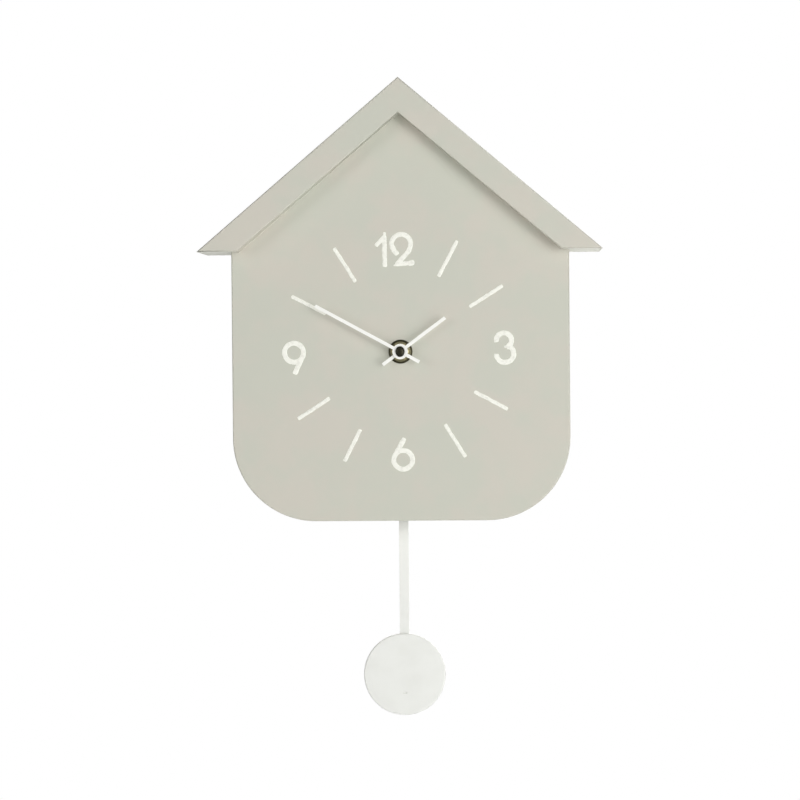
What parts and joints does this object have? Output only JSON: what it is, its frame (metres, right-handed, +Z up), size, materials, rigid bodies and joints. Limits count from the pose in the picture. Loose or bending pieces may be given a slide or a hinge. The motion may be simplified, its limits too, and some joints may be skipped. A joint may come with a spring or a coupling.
{
  "type": "pendulum wall clock",
  "caption": "House-shaped sheet-metal wall clock with a pitched roof, white numerals and stick hands, a quartz movement and a swinging strip pendulum with a round bob.",
  "frame": {"origin": "middle of the keyhole's round entry, on the wall plane", "axes": "+X to the viewer's right, +Y into the wall, +Z up; the dial faces -Y"},
  "size_m": [0.252, 0.062, 0.401],
  "materials": {
    "case_paint": "satin powder paint, greige, slightly uneven",
    "dial_paint": "hand-brushed white paint",
    "hand_paint": "matt white paint",
    "pendulum_paint": "satin white paint",
    "dark_brass": "antiqued, dark olive",
    "brass": "turned, slightly tarnished",
    "black_rubber": "matt",
    "black_plastic": "moulded, fine grain",
    "white_plastic": "moulded",
    "steel": "bright",
    "copper_winding": "enamelled copper wire",
    "board": "green solder mask",
    "epoxy": "moulded blob",
    "cell_sleeve": "plain shrink sleeve"
  },
  "bodies": {
    "case": {"face_panel": "case_paint", "side_band": "case_paint", "back_frame": "case_paint", "roof_sheet": "case_paint", "roof_fascia": "case_paint", "eave_plate_left": "case_paint", "eave_plate_right": "case_paint", "numeral_12": "dial_paint", "numeral_3": "dial_paint", "numeral_6": "dial_paint", "numeral_9": "dial_paint", "hour_marks": "dial_paint", "gasket": "black_rubber", "movement_case": "black_plastic", "movement_cover": "black_plastic", "washer": "dark_brass", "centre_nut": "brass", "circuit_board": "board", "quartz_crystal": "steel", "chip": "epoxy", "stator": "steel", "motor_coil": "copper_winding", "plus_contact": "steel", "minus_contact": "steel", "pendulum_coil": "copper_winding", "pivot_pin": "steel"},
    "minute_hand": {"minute_arbor": "brass", "clutch_spring": "steel", "minute_hand": "hand_paint", "minute_nut": "dark_brass"},
    "hour_hand": {"hour_wheel": "white_plastic", "hour_hand": "hand_paint"},
    "minute_wheel": {"minute_wheel": "white_plastic"},
    "setting_knob": {"setting_knob": "white_plastic"},
    "fourth_wheel": {"fourth_wheel": "white_plastic"},
    "third_wheel": {"third_wheel": "white_plastic"},
    "fifth_wheel": {"fifth_wheel": "white_plastic"},
    "centre_wheel": {"centre_wheel": "white_plastic"},
    "rotor": {"rotor": "white_plastic"},
    "pendulum": {"pendulum_leader": "white_plastic", "leader_magnet": "steel", "pendulum_rod": "pendulum_paint", "pendulum_bob": "pendulum_paint", "bob_clip": "steel"},
    "battery": {"battery": "cell_sleeve"}
  },
  "joints": [
    {"name": "minute_hand_turn", "type": "hinge", "parent": "case", "child": "minute_hand", "pos_m": [0, -0.0572, -0.125], "axis": [0, 1, 0], "continuous": true},
    {"name": "hour_hand_turn", "type": "hinge", "parent": "case", "child": "hour_hand", "pos_m": [0, -0.0553, -0.125], "axis": [0, 1, 0], "continuous": true},
    {"name": "minute_wheel_turn", "type": "hinge", "parent": "case", "child": "minute_wheel", "pos_m": [-0.00866, -0.0444, -0.12], "axis": [0, 1, 0], "continuous": true},
    {"name": "setting_knob_turn", "type": "hinge", "parent": "case", "child": "setting_knob", "pos_m": [-0.01366, -0.022, -0.11134], "axis": [0, 1, 0], "continuous": true},
    {"name": "fourth_wheel_turn", "type": "hinge", "parent": "case", "child": "fourth_wheel", "pos_m": [0.01588, -0.0393, -0.11758], "axis": [0, 1, 0], "continuous": true},
    {"name": "third_wheel_turn", "type": "hinge", "parent": "case", "child": "third_wheel", "pos_m": [0.0063, -0.0411, -0.11409], "axis": [0, 1, 0], "continuous": true},
    {"name": "fifth_wheel_turn", "type": "hinge", "parent": "case", "child": "fifth_wheel", "pos_m": [0.01714, -0.0375, -0.12467], "axis": [0, 1, 0], "continuous": true},
    {"name": "centre_wheel_turn", "type": "hinge", "parent": "case", "child": "centre_wheel", "pos_m": [0, -0.0429, -0.125], "axis": [0, 1, 0], "continuous": true},
    {"name": "rotor_turn", "type": "hinge", "parent": "case", "child": "rotor", "pos_m": [0.01714, -0.0347, -0.13111], "axis": [0, 1, 0], "continuous": true},
    {"name": "pendulum_swing", "type": "hinge", "parent": "case", "child": "pendulum", "pos_m": [0, -0.0224, -0.117], "axis": [0, 1, 0], "range_deg": [-5.5, 5.5]},
    {"name": "battery_slide", "type": "slide", "parent": "case", "child": "battery", "axis": [0, 1, 0], "range_m": [0, 0.03]}
  ],
  "couplings": [
    {"joint": "hour_hand_turn", "follows": "minute_hand_turn", "ratio": 0.083333},
    {"joint": "minute_wheel_turn", "follows": "minute_hand_turn", "ratio": -0.33333},
    {"joint": "setting_knob_turn", "follows": "minute_hand_turn", "ratio": 1},
    {"joint": "third_wheel_turn", "follows": "fourth_wheel_turn", "ratio": -0.13333},
    {"joint": "centre_wheel_turn", "follows": "fourth_wheel_turn", "ratio": 0.016667},
    {"joint": "fifth_wheel_turn", "follows": "fourth_wheel_turn", "ratio": -5},
    {"joint": "rotor_turn", "follows": "fourth_wheel_turn", "ratio": 30}
  ]
}
